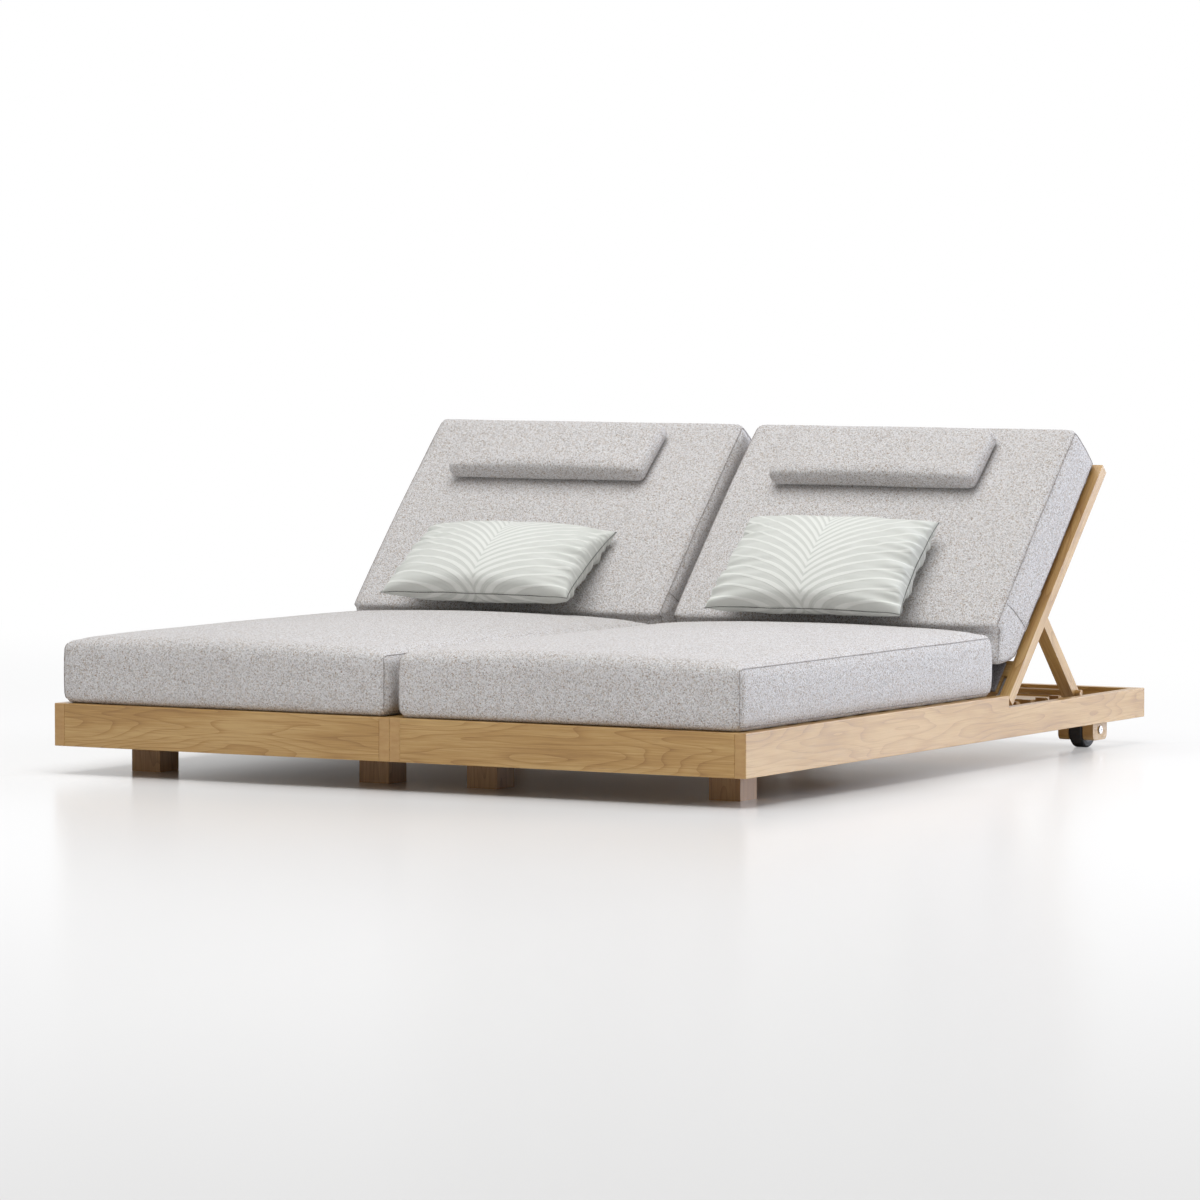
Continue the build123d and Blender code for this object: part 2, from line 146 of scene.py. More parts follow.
def woodMaterial(name, grain, seed, look=woodLook):
    # grain is the turn that brings the board's length onto X
    material, tree, shader = newMaterial("oiled_teak_" + name)
    rng = random.Random(seed)
    shift = [rng.uniform(-3, 3) for i in range(3)]
    spot = addNode(tree, "ShaderNodeTexCoord")
    place = addNode(tree, "ShaderNodeMapping", {"Rotation": grain}, {"Vector": spot.outputs["Object"]})
    # growth bands: slow lumps cut into rings, each fading from its dark late wood
    across = 1000.0 / look["figureMm"] / look["bandsToLump"]
    board = addNode(tree, "ShaderNodeMapping",
                    {"Location": shift, "Scale": (across / look["stretch"], across, across)},
                    {"Vector": place.outputs[0]})
    bend = addNode(tree, "ShaderNodeTexNoise", {"Scale": 1.0, "Detail": 2.5, "Roughness": 0.5},
                   {"Vector": board.outputs[0]})
    rings = addNode(tree, "ShaderNodeMath", {1: look["rings"]}, {0: bend.outputs["Fac"]},
                    operation="MULTIPLY")
    saw = addNode(tree, "ShaderNodeMath", None, {0: rings.outputs[0]}, operation="FRACT")
    late = addNode(tree, "ShaderNodeMath", {1: 5.0}, {0: saw.outputs[0]}, operation="POWER")
    band = addNode(tree, "ShaderNodeMapRange", {1: 0.0, 2: 1.0, 3: 0.72, 4: 0.05}, {0: late.outputs[0]})
    # fibres, clouds and pores
    streakPlace = addNode(tree, "ShaderNodeMapping", {"Location": shift, "Scale": look["fibre"]},
                          {"Vector": place.outputs[0]})
    streak = addNode(tree, "ShaderNodeTexNoise", {"Scale": 1.0, "Detail": 4.0, "Roughness": 0.6},
                     {"Vector": streakPlace.outputs[0]})
    cloudPlace = addNode(tree, "ShaderNodeMapping", {"Location": shift, "Scale": look["cloud"]},
                         {"Vector": place.outputs[0]})
    cloud = addNode(tree, "ShaderNodeTexNoise", {"Scale": 1.0, "Detail": 3.0},
                    {"Vector": cloudPlace.outputs[0]})
    poreScale = 1000.0 / look["poreMm"]
    porePlace = addNode(tree, "ShaderNodeMapping",
                        {"Scale": (poreScale / look["poreStretch"], poreScale, poreScale)},
                        {"Vector": place.outputs[0]})
    pore = addNode(tree, "ShaderNodeTexNoise", {"Scale": 1.0, "Detail": 2.0},
                   {"Vector": porePlace.outputs[0]})
    fibre = addNode(tree, "ShaderNodeMix", {0: 0.5}, {2: streak.outputs["Fac"], 3: cloud.outputs["Fac"]})
    mix = addNode(tree, "ShaderNodeMix", {0: look["figure"]}, {2: fibre.outputs[0], 3: band.outputs[0]})
    ramp = addNode(tree, "ShaderNodeValToRGB", None, {"Fac": mix.outputs[0]})
    fillRamp(ramp, list(zip(look["stops"], (look["dark"], look["middle"], look["light"]))))
    poreMask = addNode(tree, "ShaderNodeMapRange", {1: 0.6, 2: 0.75, 3: 0.0, 4: look["poreDark"]},
                       {0: pore.outputs["Fac"]})
    dark = addNode(tree, "ShaderNodeMix", {7: linear(look["pore"])},
                   {0: poreMask.outputs[0], 6: ramp.outputs[0]}, data_type="RGBA")
    # sawn ends: the rings show as short bands
    facing = addNode(tree, "ShaderNodeMapping", {"Rotation": grain}, {"Vector": spot.outputs["Normal"]},
                     vector_type="NORMAL")
    lengthwise = addNode(tree, "ShaderNodeSeparateXYZ", None, {0: facing.outputs[0]})
    towards = addNode(tree, "ShaderNodeMath", None, {0: lengthwise.outputs[0]}, operation="ABSOLUTE")
    endMask = addNode(tree, "ShaderNodeMapRange", {1: 0.85, 2: 0.95, 3: 0.0, 4: 1.0},
                      {0: towards.outputs[0]})
    endPlace = addNode(tree, "ShaderNodeMapping", {"Location": shift, "Scale": look["endRing"]},
                       {"Vector": place.outputs[0]})
    endRing = addNode(tree, "ShaderNodeTexNoise", {"Scale": 1.0, "Detail": 2.0},
                      {"Vector": endPlace.outputs[0]})
    endTone = addNode(tree, "ShaderNodeMix", {6: linear(look["endGrain"]), 7: linear(look["light"])},
                      {0: endRing.outputs["Fac"]}, data_type="RGBA")
    sawn = addNode(tree, "ShaderNodeMix", None,
                   {0: endMask.outputs[0], 6: dark.outputs[2], 7: endTone.outputs[2]}, data_type="RGBA")
    tree.links.new(sawn.outputs[2], shader.inputs["Base Color"])
    rough = addNode(tree, "ShaderNodeMapRange", {3: look["roughness"] - 0.04, 4: look["roughness"] + 0.1},
                    {0: streak.outputs["Fac"]})
    tree.links.new(rough.outputs[0], shader.inputs["Roughness"])
    bump = addNode(tree, "ShaderNodeBump", {"Strength": 0.2, "Distance": look["relief"]},
                   {"Height": pore.outputs["Fac"]})
    tree.links.new(bump.outputs[0], shader.inputs["Normal"])
    shader.inputs["IOR"].default_value = 1.5
    shader.inputs["Coat Weight"].default_value = look["oil"]
    shader.inputs["Coat Roughness"].default_value = look["oilRoughness"]
    return material


def leaning(angle):
    # the turn for a board that leans by this angle
    turn = Matrix.Rotation(math.radians(-90), 3, "Z") @ Matrix.Rotation(math.radians(-angle), 3, "X")
    return turn.to_euler()


alongX = (0, 0, 0)
alongY = (0, 0, math.radians(-90))
upright = (0, math.radians(90), 0)

# bouclé weave: looped yarn in pale grey with beige, brown and white flecks, quite matte

weaveLook = {
    "ground": "#E4E2E3", "white": "#F7F7F8", "beige": "#CFC3B8", "brown": "#A4917F", "shade": "#B3B0B0",
    # where the share of each yarn starts, out of one
    "shares": ((0.0, "ground"), (0.38, "white"), (0.6, "shade"), (0.76, "beige"), (0.9, "brown")),
    "loopMm": 2.3, "fleckMm": 2.9,     # the real loops are about 2.5 mm
    "relief": 0.0018,
}


def weaveMaterial(name, loops=1.0, tint=None):
    material, tree, shader = newMaterial(name)
    spot = addNode(tree, "ShaderNodeTexCoord")
    loopScale = 1000.0 / weaveLook["loopMm"] * loops
    loop = addNode(tree, "ShaderNodeTexVoronoi", {"Scale": loopScale, "Randomness": 0.9},
                   {"Vector": spot.outputs["Object"]})
    yarn = addNode(tree, "ShaderNodeSeparateColor", None, {0: loop.outputs["Color"]})
    ramp = addNode(tree, "ShaderNodeValToRGB", None, {"Fac": yarn.outputs[0]})
    ramp.color_ramp.interpolation = "CONSTANT"
    fillRamp(ramp, [(start, weaveLook[yarn]) for start, yarn in weaveLook["shares"]])
    fleck = addNode(tree, "ShaderNodeTexNoise", {"Scale": 1000.0 / weaveLook["fleckMm"], "Detail": 3.0},
                    {"Vector": spot.outputs["Object"]})
    fleckMask = addNode(tree, "ShaderNodeMapRange", {1: 0.4, 2: 0.6, 3: 0.35, 4: 1.0},
                        {0: fleck.outputs["Fac"]})
    colour = addNode(tree, "ShaderNodeMix", {6: linear(weaveLook["ground"])},
                     {0: fleckMask.outputs[0], 7: ramp.outputs[0]}, data_type="RGBA")
    # slow changes of tone, and painted shade in the hollows between the loops
    slow = addNode(tree, "ShaderNodeTexNoise", {"Scale": 3.0, "Detail": 2.0},
                   {"Vector": spot.outputs["Object"]})
    tone = addNode(tree, "ShaderNodeMapRange", {3: 0.96, 4: 1.03}, {0: slow.outputs["Fac"]})
    loopHollowShade = addNode(tree, "ShaderNodeMapRange", {1: 0.0, 2: 0.75, 3: 1.0, 4: 0.8},
                  {0: loop.outputs["Distance"]})
    level = addNode(tree, "ShaderNodeMath", None, {0: tone.outputs[0], 1: loopHollowShade.outputs[0]},
                    operation="MULTIPLY")
    last = addNode(tree, "ShaderNodeMix", {0: 1.0}, {6: colour.outputs[2], 7: level.outputs[0]},
                   data_type="RGBA", blend_type="MULTIPLY")
    outColour = last.outputs[2]
    if tint:
        dyed = addNode(tree, "ShaderNodeMix", {0: 1.0, 7: linear(tint)}, {6: outColour},
                       data_type="RGBA", blend_type="MULTIPLY")
        outColour = dyed.outputs[2]
    tree.links.new(outColour, shader.inputs["Base Color"])
    bump = addNode(tree, "ShaderNodeBump", {"Strength": 0.9, "Distance": weaveLook["relief"]},
                   {"Height": loop.outputs["Distance"]}, invert=True)
    tree.links.new(bump.outputs[0], shader.inputs["Normal"])
    shader.inputs["Roughness"].default_value = 0.95
    shader.inputs["Specular IOR Level"].default_value = 0.2
    shader.inputs["Sheen Weight"].default_value = 0.12
    shader.inputs["Sheen Roughness"].default_value = 0.5
    return material


boucle = weaveMaterial("boucle_weave")
# the seams' thread: the bouclé tinted darker; a real seam, whose darker tone is painted shade for the shade
# in its crease
shadedSeamYarn = weaveMaterial("seam_yarn_painted_shade", 1.0, "#CFCBC9")
rimThread = weaveMaterial("rim_thread", 1.5, "#A2A6A2")
liningCloth = weaveMaterial("lining_cloth", 1.4, "#A3A1A6")

# cotton pillow cover: pale sage ground with raised leaf ribs either side of a spine

ribLook = {
    "ground": "#D4D6D2", "rib": "#E1E3DF", "line": "#BEC2BC", "shade": "#CACDC8",
    "spacing": 0.0195,     # from rib to rib along the spine; they fan out towards the ends
    "fan": 2.0, "rise": 0.045, "reach": 0.06, "spread": 0.24, "relief": 0.0015,
}


def pillowMaterial():
    material, tree, shader = newMaterial("ribbed_cotton")
    spot = addNode(tree, "ShaderNodeUVMap", uv_map="cover")
    parts = addNode(tree, "ShaderNodeSeparateXYZ", None, {0: spot.outputs[0]})
    side = addNode(tree, "ShaderNodeMath", None, {0: parts.outputs[0]}, operation="ABSOLUTE")
    # each rib climbs steeply from the spine, then levels out: rise (1 - e^(-u/reach))
    away = addNode(tree, "ShaderNodeMath", {1: -1.0 / ribLook["reach"]}, {0: side.outputs[0]},
                   operation="MULTIPLY")
    fade = addNode(tree, "ShaderNodeMath", {0: math.e}, {1: away.outputs[0]}, operation="POWER")
    climb = addNode(tree, "ShaderNodeMapRange", {1: 1.0, 2: 0.0, 3: 0.0, 4: ribLook["rise"]},
                    {0: fade.outputs[0]})
    lane = addNode(tree, "ShaderNodeMath", None, {0: parts.outputs[1], 1: climb.outputs[0]},
                   operation="SUBTRACT")
    raised = addNode(tree, "ShaderNodeMath", {1: ribLook["spread"]}, {0: lane.outputs[0]}, operation="ADD")
    wide = addNode(tree, "ShaderNodeMath", {1: ribLook["fan"] * ribLook["spacing"], 2: ribLook["spacing"]},
                   {0: side.outputs[0]}, operation="MULTIPLY_ADD")
    phase = addNode(tree, "ShaderNodeMath", None, {0: raised.outputs[0], 1: wide.outputs[0]},
                    operation="DIVIDE")
    saw = addNode(tree, "ShaderNodeMath", None, {0: phase.outputs[0]}, operation="FRACT")
    hill = addNode(tree, "ShaderNodeMath", {1: 0.5}, {0: saw.outputs[0]}, operation="SUBTRACT")
    fold = addNode(tree, "ShaderNodeMath", None, {0: hill.outputs[0]}, operation="ABSOLUTE")
    # broad ribs with a thin dark line between them at the spine, thin ribs far apart at the ends
    broad = addNode(tree, "ShaderNodeMapRange", {1: 0.015, 2: 0.15, 3: 0.34, 4: 0.14}, {0: side.outputs[0]})
    brim = addNode(tree, "ShaderNodeMath", {1: 0.09}, {0: broad.outputs[0]}, operation="SUBTRACT")
    rib = addNode(tree, "ShaderNodeMapRange", {3: 1.0, 4: 0.0},
                  {0: fold.outputs[0], 1: brim.outputs[0], 2: broad.outputs[0]},
                  interpolation_type="SMOOTHSTEP")
    edge = addNode(tree, "ShaderNodeMapRange", {1: 0.4, 2: 0.49, 3: 0.0, 4: 1.0}, {0: fold.outputs[0]},
                   interpolation_type="SMOOTHSTEP")
    near = addNode(tree, "ShaderNodeMapRange", {1: 0.03, 2: 0.16, 3: 0.5, 4: 0.0}, {0: side.outputs[0]})
    lineMask = addNode(tree, "ShaderNodeMath", None, {0: edge.outputs[0], 1: near.outputs[0]},
                       operation="MULTIPLY")
    cloud = addNode(tree, "ShaderNodeTexNoise", {"Scale": 22.0, "Detail": 3.0}, {"Vector": spot.outputs[0]})
    ground = addNode(tree, "ShaderNodeMix", {6: linear(ribLook["ground"]), 7: linear(ribLook["shade"])},
                     {0: cloud.outputs["Fac"]}, data_type="RGBA")
    lined = addNode(tree, "ShaderNodeMix", {7: linear(ribLook["line"])},
                    {0: lineMask.outputs[0], 6: ground.outputs[2]}, data_type="RGBA")
    ribbed = addNode(tree, "ShaderNodeMix", {7: linear(ribLook["rib"])},
                     {0: rib.outputs[0], 6: lined.outputs[2]}, data_type="RGBA")
    tree.links.new(ribbed.outputs[2], shader.inputs["Base Color"])
    thread = addNode(tree, "ShaderNodeTexNoise", {"Scale": 900.0, "Detail": 1.0},
                     {"Vector": spot.outputs[0]})
    height = addNode(tree, "ShaderNodeMath", {1: 0.12}, {0: thread.outputs["Fac"], 2: rib.outputs[0]},
                     operation="MULTIPLY_ADD")
    bump = addNode(tree, "ShaderNodeBump", {"Strength": 0.55, "Distance": ribLook["relief"]},
                   {"Height": height.outputs[0]})
    tree.links.new(bump.outputs[0], shader.inputs["Normal"])
    shader.inputs["Roughness"].default_value = 0.85
    shader.inputs["Sheen Weight"].default_value = 0.2
    return material


ribbedCotton = pillowMaterial()


# stainless steel fittings: brushed, with the faint lines that the belt leaves

def steelMaterial():
    material, tree, shader = newMaterial("brushed_stainless_steel")
    spot = addNode(tree, "ShaderNodeTexCoord")
    place = addNode(tree, "ShaderNodeMapping", {"Scale": (40.0, 900.0, 900.0)},
                    {"Vector": spot.outputs["Object"]})
    line = addNode(tree, "ShaderNodeTexNoise", {"Scale": 1.0, "Detail": 2.0}, {"Vector": place.outputs[0]})
    rough = addNode(tree, "ShaderNodeMapRange", {3: 0.22, 4: 0.4}, {0: line.outputs["Fac"]})
    tree.links.new(rough.outputs[0], shader.inputs["Roughness"])
    shader.inputs["Base Color"].default_value = linear("#C9CACC")
    shader.inputs["Metallic"].default_value = 1.0
    return material


def mouldedMaterial(name, colour, roughness):
    # moulded black rubber and nylon: matte, with a fine pebble from the mould
    material, tree, shader = newMaterial(name)
    spot = addNode(tree, "ShaderNodeTexCoord")
    grain = addNode(tree, "ShaderNodeTexNoise", {"Scale": 700.0, "Detail": 2.0},
                    {"Vector": spot.outputs["Object"]})
    bump = addNode(tree, "ShaderNodeBump", {"Strength": 0.3, "Distance": 0.0004},
                   {"Height": grain.outputs["Fac"]})
    tree.links.new(bump.outputs[0], shader.inputs["Normal"])
    rough = addNode(tree, "ShaderNodeMapRange", {3: roughness - 0.08, 4: roughness + 0.1},
                    {0: grain.outputs["Fac"]})
    tree.links.new(rough.outputs[0], shader.inputs["Roughness"])
    shader.inputs["Base Color"].default_value = linear(colour)
    return material


steel = steelMaterial()
rubber = mouldedMaterial("moulded_rubber", "#17171A", 0.55)
nylon = mouldedMaterial("moulded_nylon", "#2A2A2C", 0.4)
print("materials made")

# the wooden, metal, rubber and nylon nodes keep their CAD mesh

grainOf = {
    "outer_rail": alongY, "inner_rail": alongY, "front_rail": alongX, "rear_rail": alongX,
    "ledgers": alongY, "cross_boards": alongX, "racks": alongY, "back_rails": alongX, "foot_bar": alongX,
    "stiles": leaning(lounger["angle"]), "prop_arms": leaning(-lounger["propAngle"]),
}
for name, node in nodes.items():
    piece = name.split("_", 1)[1]      # the name without its side
    if piece in grainOf:
        setMaterial(node, woodMaterial(name, grainOf[piece], name))
    elif name == "front_legs":
        setMaterial(node, woodMaterial(name, upright, name, shadedLegLook))
    elif name == "wheel_cheeks":
        setMaterial(node, woodMaterial(name, alongY, name))
    elif name.endswith("_tyre"):
        setMaterial(node, rubber)
    elif name.endswith("_hub"):
        setMaterial(node, nylon)
    elif name.endswith(("plates", "brackets", "pins", "axles", "bolts")):
        setMaterial(node, steel)
print("frame dressed")

# slats: a rounded batten repeated along a row

slatRows = {
    "seat": {"count": 11, "width": 0.068, "thick": 0.018, "round": 0.003},
    "back": {"count": 6, "width": 0.058, "thick": 0.010, "round": 0.0025},
}


def slatTree(material):
    tree = bpy.data.node_groups.new("slat_row", "GeometryNodeTree")
    face = tree.interface
    face.new_socket("Geometry", in_out="OUTPUT", socket_type="NodeSocketGeometry")
    for label in ("Length", "Width", "Thick", "Round", "Pitch"):
        face.new_socket(label, in_out="INPUT", socket_type="NodeSocketFloat")
    face.new_socket("Count", in_out="INPUT", socket_type="NodeSocketInt")
    start = addNode(tree, "NodeGroupInput")
    profile = addNode(tree, "GeometryNodeCurvePrimitiveQuadrilateral", None,
                      {"Width": start.outputs["Width"], "Height": start.outputs["Thick"]})
    soft = addNode(tree, "GeometryNodeFilletCurve", None,
                   {"Curve": profile.outputs[0], "Radius": start.outputs["Round"]}, mode="POLY")
    soft.inputs["Count"].default_value = 4
    half = addNode(tree, "ShaderNodeMath", {1: 0.5}, {0: start.outputs["Length"]}, operation="MULTIPLY")
    minus = addNode(tree, "ShaderNodeMath", {1: -0.5}, {0: start.outputs["Length"]}, operation="MULTIPLY")
    first = addNode(tree, "ShaderNodeCombineXYZ", None, {0: minus.outputs[0]})
    last = addNode(tree, "ShaderNodeCombineXYZ", None, {0: half.outputs[0]})
    line = addNode(tree, "GeometryNodeCurvePrimitiveLine", None,
                   {"Start": first.outputs[0], "End": last.outputs[0]})
    batten = addNode(tree, "GeometryNodeCurveToMesh", {"Fill Caps": True},
                     {"Curve": line.outputs[0], "Profile Curve": soft.outputs[0]})
    pitch = addNode(tree, "ShaderNodeCombineXYZ", None, {1: start.outputs["Pitch"]})
    row = addNode(tree, "GeometryNodeMeshLine", None,
                  {"Count": start.outputs["Count"], "Offset": pitch.outputs[0]})
    copies = addNode(tree, "GeometryNodeInstanceOnPoints", None,
                     {"Points": row.outputs[0], "Instance": batten.outputs[0]})
    real = addNode(tree, "GeometryNodeRealizeInstances", None, {0: copies.outputs[0]})
    dress = addNode(tree, "GeometryNodeSetMaterial", {"Material": material}, {"Geometry": real.outputs[0]})
    addNode(tree, "NodeGroupOutput", None, {0: dress.outputs[0]})
    return tree


def slatPiece(node, body, row, flat):
    # flat brings the row onto level ground, and back again when it is done
    material = woodMaterial(node, alongX, node)
    tree = slatTree(material)
    spots = [flat.inverted() @ v.co for v in nodes[node].data.vertices]
    low = Vector([min(p[i] for p in spots) for i in range(3)])
    high = Vector([max(p[i] for p in spots) for i in range(3)])
    holder = bpy.data.objects.new("slat_maker", bpy.data.meshes.new("slat_maker"))
    bpy.context.scene.collection.objects.link(holder)
    maker = holder.modifiers.new("slats", "NODES")
    maker.node_group = tree
    sizes = {"Length": high.x - low.x, "Width": row["width"], "Thick": row["thick"], "Round": row["round"],
             "Pitch": (high.y - low.y - row["width"]) / (row["count"] - 1), "Count": row["count"]}
    for item in tree.interface.items_tree:
        if item.in_out == "INPUT":
            maker[item.identifier] = sizes[item.name]
    mesh = bakeMesh(holder)
    bpy.data.objects.remove(holder)
    middle = Vector(((low.x + high.x) / 2, low.y + row["width"] / 2, (low.z + high.z) / 2))
    mesh.transform(Matrix.Translation(middle))
    mesh.transform(flat)
    work = bmesh.new()
    work.from_mesh(mesh)
    bmesh.ops.remove_doubles(work, verts=work.verts, dist=1e-6)
    bmesh.ops.recalc_face_normals(work, faces=work.faces)
    work.to_mesh(mesh)
    work.free()
    piece = addPiece(node + "_made", mesh, material, body, [node], smooth=False)
    return piece


for side, x in sides.items():
    slatPiece(side + "_seat_slats", "base", slatRows["seat"], Matrix.Translation((x, 0, 0)))
    slatPiece(side + "_back_slats", side + "_back", slatRows["back"], backPlace(x))
print("slats laid")

# soft pieces


def flatCopy(node, flat):
    mesh = nodes[node].data.copy()
    mesh.transform(flat.inverted())
    work = bmesh.new()
    work.from_mesh(mesh)
    bmesh.ops.remove_doubles(work, verts=work.verts, dist=1e-5)
    work.to_mesh(mesh)
    work.free()
    piece = bpy.data.objects.new("working", mesh)
    bpy.context.scene.collection.objects.link(piece)
    return piece


def remeshed(piece, voxel, smoothing):
    # an even mesh, with the edges eased
    remesh = piece.modifiers.new("remesh", "REMESH")
    remesh.mode = "VOXEL"
    remesh.voxel_size = voxel
    relax = piece.modifiers.new("relax", "SMOOTH")
    relax.factor = 0.5
    relax.iterations = smoothing
    mesh = bakeMesh(piece)
    piece.modifiers.clear()
    piece.data = mesh
    return piece


def puff(piece, settings, hold=None):
    # a short cloth simulation under inner pressure, of which only the capped swelling is kept
    before = [v.co.copy() for v in piece.data.vertices]
    outward = [v.normal.copy() for v in piece.data.vertices]
    cloth = piece.modifiers.new("cloth", "CLOTH")
    cloth.settings.quality = 5
    cloth.settings.mass = 0.3
    cloth.settings.tension_stiffness = settings["stiffness"]
    cloth.settings.compression_stiffness = settings["stiffness"]
    cloth.settings.shear_stiffness = settings["stiffness"] / 3
    cloth.settings.bending_stiffness = settings["bending"]
    cloth.settings.use_pressure = True
    cloth.settings.uniform_pressure_force = settings["pressure"]
    cloth.settings.effector_weights.gravity = 0
    cloth.collision_settings.use_collision = False
    if hold:
        group = piece.vertex_groups.new(name="hold")
        group.add([i for i, p in enumerate(before) if hold(p)], 1.0, "REPLACE")
        cloth.settings.vertex_group_mass = "hold"
    cloth.point_cache.frame_start = 1
    cloth.point_cache.frame_end = settings["frames"]
    for i in range(1, settings["frames"] + 1):
        bpy.context.scene.frame_set(i)
    after = bakeMesh(piece)
    piece.modifiers.clear()
    piece.data = after
    bpy.context.scene.frame_set(1)
    for vertex, start, normal in zip(piece.data.vertices, before, outward):
        swell = (vertex.co - start).dot(normal)
        vertex.co = start + normal * min(max(swell, settings.get("give", 0.0)), settings["cap"])
    return piece


def ripple(mesh, size, height, seed):
    # slow unevenness, as fabric over foam has
    offset = Vector((seed * 3.1, seed * 1.7, seed * 2.3))
    normals = [v.normal.copy() for v in mesh.vertices]
    for vertex, normal in zip(mesh.vertices, normals):
        vertex.co += normal * noise.noise(vertex.co / size + offset) * height


def boxOf(mesh):
    return [Vector([f(v.co[i] for v in mesh.vertices) for i in range(3)]) for f in (min, max)]


def fitBox(mesh, box):
    # brings the worked mesh back to the box of the solid that it stands for
    low, high = boxOf(mesh)
    for vertex in mesh.vertices:
        for i in range(3):
            share = (vertex.co[i] - low[i]) / (high[i] - low[i])
            vertex.co[i] = box[0][i] + share * (box[1][i] - box[0][i])


def grow(box, low, high):
    # fabric stands a little proud of the solid
    return box[0] + Vector(low), box[1] + Vector(high)


def along(corners, step, closed=True):
    # evenly spaced points along straight runs
    points = []
    following = corners[1:] + corners[:1] if closed else corners[1:]
    for a, b in zip(corners, following):
        a, b = Vector(a), Vector(b)
        count = max(int((b - a).length / step), 1)
        points += [a.lerp(b, i / count) for i in range(count)]
    if not closed:
        points.append(Vector(corners[-1]))
    return points


def cordMesh(points, radius, closed=True):
    line = bpy.data.curves.new("seam", "CURVE")
    line.dimensions = "3D"
    spline = line.splines.new("POLY")
    spline.points.add(len(points) - 1)
    for target, point in zip(spline.points, points):
        target.co = (*point, 1)
    spline.use_cyclic_u = closed
    line.bevel_depth = radius
    line.bevel_resolution = 1
    line.use_fill_caps = not closed
    holder = bpy.data.objects.new("seam_maker", line)
    bpy.context.scene.collection.objects.link(holder)
    mesh = bakeMesh(holder)
    bpy.data.objects.remove(holder)
    return mesh


seamLook = {
    "radius": 0.0009, "step": 0.008,
    "depth": 0.0022, "width": 0.006,     # of the groove that the stitches draw in
    "sunk": 0.75,                        # how much of that depth the thread lies in
}


def sewSeams(mesh, lines):
    # each line is dropped onto the cover, the cover is drawn in along it, and a thread lies in the groove
    tree = BVHTree.FromPolygons([v.co for v in mesh.vertices], [p.vertices[:] for p in mesh.polygons])
    dropped = [[tree.find_nearest(point)[:2] for point in points] for points, closed in lines]
    spots = KDTree(sum(len(run) for run in dropped))
    count = 0
    for run in dropped:
        for spot, normal in run:
            spots.insert(spot, count)
            count += 1
    spots.balance()
    normals = [v.normal.copy() for v in mesh.vertices]
    for vertex, normal in zip(mesh.vertices, normals):
        near, index, gap = spots.find(vertex.co)
        gap = max(gap - seamLook["step"] / 2, 0)
        if gap < 3 * seamLook["width"]:
            vertex.co -= normal * seamLook["depth"] * math.exp(-(gap / seamLook["width"]) ** 2)
    sunk = seamLook["depth"] * seamLook["sunk"]
    return [cordMesh([spot - normal * sunk for spot, normal in run], seamLook["radius"], closed)
            for run, (points, closed) in zip(dropped, lines)]


def addSeams(name, seams, material, body):
    for i, seam in enumerate(seams):
        line = addPiece(name + "_seam_" + str(i + 1), seam, material, body)


# seat cushions: foam box with soft edges; the side panels are sewn in, so a seam runs round each of them
seatLook = {
    "voxel": 0.0065, "smoothing": 2, "cap": 0.003, "pressure": 2.0, "stiffness": 14.0,
    "bending": 3.0, "frames": 6, "unevenSize": 0.22, "uneven": 0.0014, "edge": 0.004, "seamTop": 0.141,
    "held": 0.012,                              # the foot rests on the slats, so it keeps its form
    "proud": ((-0.007, 0, 0), (0, 0, 0)),       # how far the box's low and high corners move out
    "crown": 0.022, "rise": 0.003, "dome": 0.75,     # the topmost 22 mm swell into a soft dome
    "seamFoot": 0.004, "clear": 0.0004, "seeds": {"left": 1, "right": 2},
}
railTop = lounger["railTop"]
seat = flatCopy("left_seat_cushion", Matrix.Translation((sides["left"], 0, 0)))
seatBox = boxOf(seat.data)
seat = remeshed(seat, seatLook["voxel"], seatLook["smoothing"])
seatHeld = seatBox[0].z + seatLook["held"]
seat = puff(seat, seatLook, lambda p: p.z < seatHeld)
fitBox(seat.data, grow(seatBox, *seatLook["proud"]))
crownFoot = seatBox[1].z - seatLook["crown"]
for vertex in seat.data.vertices:
    share = (vertex.co.z - crownFoot) / seatLook["crown"]
    if share > 0:
        vertex.co.z = crownFoot + (seatLook["crown"] + seatLook["rise"]) * share ** seatLook["dome"]
print("seat cushion filled:", len(seat.data.vertices), "points")
for side, x in sides.items():
    mesh = seat.data.copy()
    ripple(mesh, seatLook["unevenSize"], seatLook["uneven"], seatLook["seeds"][side])
    for vertex in mesh.vertices:
        vertex.co.z = max(vertex.co.z, railTop + seatLook["clear"])
    low, high = boxOf(mesh)
    edge = seatLook["edge"]
    front, rear = low.y + edge, high.y - edge
    foot, top = low.z + seatLook["seamFoot"], railTop + seatLook["seamTop"]
    lines = []
    for end in (low.x + edge, high.x - edge):
        corners = [(end, front, foot), (end, rear, foot), (end, rear, top), (end, front, top)]
        lines.append((along(corners, seamLook["step"]), True))
    seams = sewSeams(mesh, lines)
    place = Matrix.Translation((x, 0, 0))
    for made in [mesh] + seams:
        made.transform(place)
    piece = addPiece(side + "_seat_pad", mesh, boucle, "base", [side + "_seat_cushion"])
    addSeams(side + "_seat", seams, shadedSeamYarn, "base")
bpy.data.objects.remove(seat)

